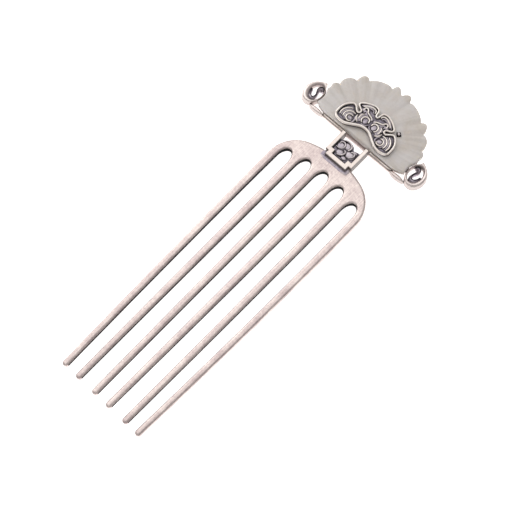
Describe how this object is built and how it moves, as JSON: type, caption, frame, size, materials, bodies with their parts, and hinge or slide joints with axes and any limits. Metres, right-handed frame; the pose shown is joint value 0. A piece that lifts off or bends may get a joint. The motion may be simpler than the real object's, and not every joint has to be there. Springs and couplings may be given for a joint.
{
  "type": "decorative hair comb",
  "caption": "Flat silver hair comb with long round-ended teeth, an openwork cloud neck and a fan-shaped jade head under a raised cloud plaque.",
  "frame": {"origin": "on the flat back of the comb, on its centre line, in the shoulder plate between the slot tops and the neck", "axes": "+X across the teeth, +Y from the tooth tips towards the jade head, +Z out of the front face"},
  "size_m": [0.044, 0.1205, 0.0051],
  "materials": {
    "silver": "brushed sterling silver with a warm cast, soft lengthwise brush lines",
    "bright_silver": "hand-polished sterling silver, bright along every rim and wire",
    "oxidised_silver": "sterling silver oxidised purple-grey in the recesses",
    "blackened_silver": "sterling silver blackened all over, rubbed bright on the high point",
    "jade": "pale grey-green nephrite jade, waxy polish, slightly translucent"
  },
  "bodies": {
    "root": {"comb_body": "silver", "head_plate": "silver", "brace_left": "silver", "brace_right": "silver", "end_ring_left": "silver", "end_ring_right": "silver", "post_left": "silver", "post_right": "silver", "neck_frame": "bright_silver", "bezel_left": "bright_silver", "bezel_right": "bright_silver", "cloud_bow": "bright_silver", "cloud_rim": "bright_silver", "neck_scroll_left": "silver", "neck_scroll_right": "silver", "neck_arch": "silver", "neck_lobe": "silver", "neck_foot": "oxidised_silver", "neck_panel": "oxidised_silver", "end_curl_left": "oxidised_silver", "end_curl_right": "oxidised_silver", "cloud_plate": "oxidised_silver", "jade_pin": "blackened_silver", "jade_pin_washer": "blackened_silver", "jade_fan": "jade", "cloud_outer_scroll_left": "bright_silver", "cloud_outer_scroll_right": "bright_silver", "cloud_outer_contour_left": "bright_silver", "cloud_outer_contour_right": "bright_silver", "cloud_outer_ridge_left": "bright_silver", "cloud_outer_ridge_right": "bright_silver", "cloud_inner_scroll_left": "bright_silver", "cloud_inner_scroll_right": "bright_silver", "cloud_inner_contour_left": "bright_silver", "cloud_inner_contour_right": "bright_silver", "cloud_divider_left": "bright_silver", "cloud_divider_right": "bright_silver", "cloud_hook_left": "bright_silver", "cloud_hook_right": "bright_silver", "cloud_crest_left": "bright_silver", "cloud_crest_right": "bright_silver"}
  },
  "joints": []
}
